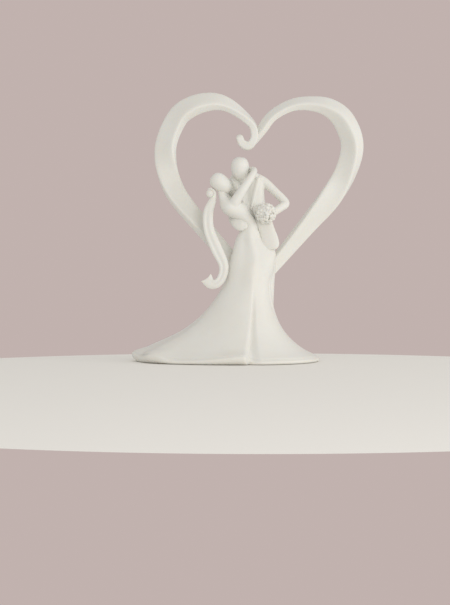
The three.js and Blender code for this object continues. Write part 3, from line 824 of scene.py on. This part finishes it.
def makeTrousers():
    rows = rowsOf(trousers["line"], trousers["halves"])
    bm = sweepForm(rows, steps=60, sides=64, fullness=trousers["fullness"])
    kneeX, kneeY, _ = trousers["line"][2]
    seat, top = trousers["line"][3][2], trousers["line"][4][2]
    for v in bm.verts:
        near = bell(v.co.x - kneeX, trousers["grooveBreadth"])
        behind = smoothStep(0, trousers["grooveDepth"], v.co.y - kneeY)
        below = 1 - smoothStep(seat, top, v.co.z)
        v.co.y -= trousers["grooveDepth"] * near * behind * below
    return bm


addPiece(makeTrousers(), "groom_trousers")
print("groom")

# Hair: a small ball at the nape, and a long tail that curls round it, with soft furrows and a fishtail end.
hair = {
    "knotSize": 4.4,
    "knotRise": 1.08,  # height as a share of its size
    "knotMiddle": (-21, -4.7, 93.5),
    "line": (
        (-21.9, -4.5, 95.8), (-20.4, -4.6, 96.1), (-18.7, -4.7, 94.6), (-18.6, -4.8, 92), (-19.7, -4.9, 89.2),
        (-21.9, -5.1, 83), (-21.6, -5.3, 73.5), (-17.5, -5.8, 63), (-13.5, -6.2, 54),
        (-14.1, -6.4, 47.6), (-17.1, -6.6, 43.6), (-20.7, -6.5, 43.4), (-23.3, -6.2, 46.8),
    ),
    "breadth": 5.8,
    "thickness": 2.8,
    "breadths": (0.17, 0.26, 0.32, 0.4, 0.72, 0.97, 1.02, 1.1, 0.94, 0.86, 0.86, 0.98, 1.18),
    "depths": (0.7, 0.95, 1.05, 1.05, 1, 1, 1, 1, 1, 1, 1, 0.8, 0.5),
    "fullness": 2.3,
    "furrows": ((0.24, 0.34, 0.3), (-0.8, 0.16, 0.16)),  # place across, width, share of the thickness
    "furrowSpan": (0.34, 0.46, 0.86, 0.97),  # along the tail
    "scoop": (1.1, 0.92),  # depth of the notch in the end, and where it starts along the tail
    "endRound": 0.7,
}


def makeKnot():
    bm = bmesh.new()
    verts = bmesh.ops.create_uvsphere(bm, u_segments=40, v_segments=28, radius=hair["knotSize"] / 2)["verts"]
    bmesh.ops.scale(bm, vec=(1, 1, hair["knotRise"]), verts=verts)
    bmesh.ops.translate(bm, vec=hair["knotMiddle"], verts=verts)
    return bm


def tailSection(t, u, w, scale):
    if w < 0:
        for middle, width, share in hair["furrows"]:
            w *= 1 - share * within(hair["furrowSpan"], t) * bell(u - middle, width)
    depth, start = hair["scoop"]
    return u, w, depth * ((u * scale) ** 2 - 1) * smoothStep(start, 1, t)


def makeHairTail():
    breadth, thickness = hair["breadth"] / 2, hair["thickness"] / 2
    halves = [(breadth * a, thickness * b) for a, b in zip(hair["breadths"], hair["depths"])]
    rows, end = rowsOf(hair["line"], halves), hair["endRound"]
    return sweepForm(rows, steps=190, sides=64, fullness=hair["fullness"], roundEnd=end, shape=tailSection)


addPiece(makeKnot(), "hair_knot")
addPiece(makeHairTail(), "hair_tail")
print("hair")

# Heart: two ribbons. Rows: across and up as shares of the heart, breadth, thickness, roll in degrees.
heart = {
    "middle": 6.5,
    "width": 106,
    "foot": 45,
    "height": 100,
    "setback": 10,
    "footSetback": 5.5,
    "footBlend": 0.24,  # share of the height by which a ribbon has its full setback
    "breadth": 13,
    "thickness": 6.4,
    "fullness": 5,
    "leftEnd": 1,  # how far each end is rounded
    "rightEnd": 0.8,
    "left": (
        (-0.061, 0.025, 0.52, 0.72, -30), (-0.182, 0.16, 0.65, 0.81, -33), (-0.291, 0.29, 0.75, 0.9, -35),
        (-0.45, 0.507, 0.87, 0.84, -20), (-0.499, 0.725, 0.93, 0.9, 24), (-0.443, 0.901, 0.91, 1.03, 34),
        (-0.36, 0.978, 0.94, 1.06, 43), (-0.246, 1.007, 0.87, 0.9, 48), (-0.148, 0.978, 0.7, 0.68, 54),
        (-0.043, 0.887, 0.55, 0.64, 76), (-0.023, 0.82, 0.55, 0.7, 90), (-0.038, 0.773, 0.54, 0.72, 90),
        (-0.063, 0.758, 0.52, 0.8, 90), (-0.089, 0.772, 0.49, 0.72, 90), (-0.102, 0.801, 0.45, 0.66, 90),
    ),
    "right": (
        (-0.034, 0.773, 0.24, 0.5, -42), (0.012, 0.845, 0.3, 0.95, -39), (0.073, 0.928, 0.3, 1.12, -36),
        (0.173, 0.986, 0.34, 1.25, -36), (0.275, 0.996, 0.43, 1.42, -36), (0.373, 0.972, 0.59, 1.6, -40),
        (0.451, 0.9, 0.82, 1.5, -43), (0.496, 0.765, 0.94, 1.28, -45), (0.464, 0.616, 0.89, 1.19, -26),
        (0.381, 0.468, 0.95, 1.08, 4), (0.26, 0.313, 0.77, 0.88, 22), (0.137, 0.158, 0.62, 0.83, 26),
        (0.009, 0, 0.5, 0.7, 26),
    ),
    "hollow": 0.13,  # dish of the broad face, as a share of the thickness
    "leftDish": (0.08, 0.2, 0.3, 0.46),  # its span along each ribbon
    "rightDish": (0.52, 0.64, 0.84, 0.96),
}


def makeRibbon(side):
    rows = []
    for across, up, breadth, thickness, roll in heart[side]:
        x, z = heart["middle"] + across * heart["width"], heart["foot"] + up * heart["height"]
        y = mix(heart["footSetback"], heart["setback"], smoothStep(0, heart["footBlend"], up))
        rows.append([x, y, z, heart["breadth"] / 2 * breadth, heart["thickness"] / 2 * thickness, roll])

    def dished(t, u, w, scale):
        if w < 0:
            w *= 1 - heart["hollow"] * within(heart[side + "Dish"], t) * (1 - u * u)
        return u, w, 0

    end = heart[side + "End"]
    return sweepForm(rows, steps=260, sides=72, fullness=heart["fullness"], roundEnd=end, shape=dished)


addPiece(makeRibbon("left"), "heart_left_ribbon")
addPiece(makeRibbon("right"), "heart_right_ribbon")
print("heart")

# Bouquet: a ball of small blossoms, each five fat petals round a bud.
bouquet = {
    "radius": 4.4,
    "middle": (9.7, -8, 82.7),
    "blossomRadius": 1.8,
    "petals": 5,
    "petalSize": (0.5, 0.48, 0.44),  # along, across and up, as shares of the blossom
    "petalPlace": (0.58, 0.36),  # out from the middle, and up
    "bud": (0.36, 0.5),  # size and place
    "uneven": 0.3,
    "petalPhase": 3.7,  # what makes petals and blossoms differ
    "blossomPhase": 1.9,
    "liftPhase": 2.4,
    "turnStep": 47,  # degrees that each blossom is turned from the one before
    "voxel": 0.15,
    "rounds": 3,
    "fill": 1.06,  # the ball is a little fuller here, so no deep gaps show
    "sink": 0.4,
    "lift": 0.6,  # blossoms stand out by uneven amounts
    "crown": (0.6, 0.85),  # the topmost one stands up: by how much, and how upright it has to be
}


def makeBlossom(node):
    low, high = (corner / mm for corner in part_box(node))
    core = Vector(bouquet["middle"])
    out = ((low + high) / 2 - core).normalized()
    turn = Vector((0, 0, 1)).rotation_difference(out).to_matrix()
    size, number = bouquet["blossomRadius"], int(node.split("_")[1])
    crown, upright = bouquet["crown"]
    lift = bouquet["lift"] * sin(bouquet["liftPhase"] * number) + crown * smoothStep(upright, 1, out.z)
    place, rise = bouquet["petalPlace"]
    bm = bmesh.new()
    for i in range(bouquet["petals"]):
        verts = bmesh.ops.create_icosphere(bm, subdivisions=3, radius=1)["verts"]
        grow = 1 + bouquet["uneven"] * sin(bouquet["petalPhase"] * i + bouquet["blossomPhase"] * number)
        bmesh.ops.scale(bm, vec=[grow * share for share in bouquet["petalSize"]], verts=verts)
        bmesh.ops.translate(bm, vec=(place, 0, rise * grow), verts=verts)
        spin = radians(360 * i / bouquet["petals"] + bouquet["turnStep"] * number)
        bmesh.ops.rotate(bm, verts=verts, cent=(0, 0, 0), matrix=Matrix.Rotation(spin, 3, "Z"))
    radius, rise = bouquet["bud"]
    bud = bmesh.ops.create_icosphere(bm, subdivisions=3, radius=radius)["verts"]
    bmesh.ops.translate(bm, vec=(0, 0, rise), verts=bud)
    bmesh.ops.scale(bm, vec=(size, size, size), verts=bm.verts)
    bmesh.ops.rotate(bm, verts=bm.verts, cent=(0, 0, 0), matrix=turn)
    bmesh.ops.translate(bm, vec=core + out * (bouquet["radius"] - bouquet["sink"] + lift), verts=bm.verts)
    return fuse([bm], bouquet["voxel"], bouquet["rounds"])


def makeCore():
    bm = bmesh.new()
    radius = bouquet["radius"] * bouquet["fill"]
    verts = bmesh.ops.create_icosphere(bm, subdivisions=4, radius=radius)["verts"]
    bmesh.ops.translate(bm, vec=bouquet["middle"], verts=verts)
    return bm


addPiece(makeCore(), "bouquet_core")
for node in sorted(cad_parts):
    if node.startswith("blossom_"):
        addPiece(makeBlossom(node), node)
print("bouquet")

# Floor, world, lights and camera.
stage = {
    "floorRadius": 0.25,
    "floorSides": 256,
    "floorMiddle": (0, -0.18, -0.0002),
    "floorColour": (0.93, 0.905, 0.86, 1),
    "floorRoughness": 0.9,
    "floorGloss": 0.1,
    "backColour": (0.535, 0.445, 0.425, 1),
    "ambient": (1, 0.99, 0.97, 1),
    "ambientStrength": 0.66,
    "key": {"place": (0.28, -1.05, 0.22), "size": 0.6, "energy": 3, "colour": (1, 0.99, 0.975)},
    "fill": {"place": (1.02, -0.37, 0.22), "size": 0.6, "energy": 2.3, "colour": (1, 0.99, 0.975)},
    "lampAim": (0, 0, 0.07),
    "camera": (-0.01266, -0.974, 0.066),
    "cameraAim": (-0.01266, 0, 0.0327),
    "lens": 103.5,
    "sensor": 36,
}


def makeFloor():
    bm = bmesh.new()
    bmesh.ops.create_circle(bm, cap_ends=True, segments=stage["floorSides"], radius=stage["floorRadius"])
    bmesh.ops.translate(bm, vec=stage["floorMiddle"], verts=bm.verts)
    floor = bpy.data.objects.new("floor", meshOf(bm, "floor"))
    scene.collection.objects.link(floor)
    paper = bpy.data.materials.new("floorPaper")
    paper.use_nodes = True
    shader = paper.node_tree.nodes["Principled BSDF"]
    shader.inputs["Base Color"].default_value = stage["floorColour"]
    shader.inputs["Roughness"].default_value = stage["floorRoughness"]
    shader.inputs["Specular IOR Level"].default_value = stage["floorGloss"]
    floor.data.materials.append(paper)


def makeWorld():
    world = bpy.data.worlds.new("studio")
    scene.world = world
    world.use_nodes = True
    tree = world.node_tree
    link = tree.links.new
    soft = tree.nodes["Background"]
    soft.inputs["Color"].default_value = stage["ambient"]
    soft.inputs["Strength"].default_value = stage["ambientStrength"]
    seen = tree.nodes.new("ShaderNodeBackground")
    seen.inputs["Color"].default_value = stage["backColour"]
    path = tree.nodes.new("ShaderNodeLightPath")
    either = tree.nodes.new("ShaderNodeMath")
    either.operation = "MAXIMUM"
    link(path.outputs["Is Camera Ray"], either.inputs[0])
    link(path.outputs["Is Transmission Ray"], either.inputs[1])
    shown = tree.nodes.new("ShaderNodeMath")
    shown.operation = "MAXIMUM"
    link(either.outputs[0], shown.inputs[0])
    link(path.outputs["Is Glossy Ray"], shown.inputs[1])
    pick = tree.nodes.new("ShaderNodeMixShader")
    link(shown.outputs[0], pick.inputs["Fac"])
    link(soft.outputs[0], pick.inputs[1])
    link(seen.outputs[0], pick.inputs[2])
    link(pick.outputs[0], tree.nodes["World Output"].inputs["Surface"])


def aimAt(thing, target):
    thing.rotation_euler = (Vector(target) - thing.location).to_track_quat("-Z", "Y").to_euler()


def makeLamp(name):
    lamp = stage[name]
    data = bpy.data.lights.new(name, "AREA")
    data.shape = "DISK"
    data.size = lamp["size"]
    data.energy = lamp["energy"]
    data.color = lamp["colour"]
    thing = bpy.data.objects.new(name, data)
    thing.location = lamp["place"]
    aimAt(thing, stage["lampAim"])
    scene.collection.objects.link(thing)


def makeCamera():
    data = bpy.data.cameras.new("camera")
    data.lens = stage["lens"]
    data.sensor_width = stage["sensor"]
    camera = bpy.data.objects.new("camera", data)
    camera.location = stage["camera"]
    aimAt(camera, stage["cameraAim"])
    scene.collection.objects.link(camera)
    scene.camera = camera


makeFloor()
makeWorld()
makeLamp("key")
makeLamp("fill")
makeCamera()
scene.view_settings.view_transform = "Standard"
print("stage")
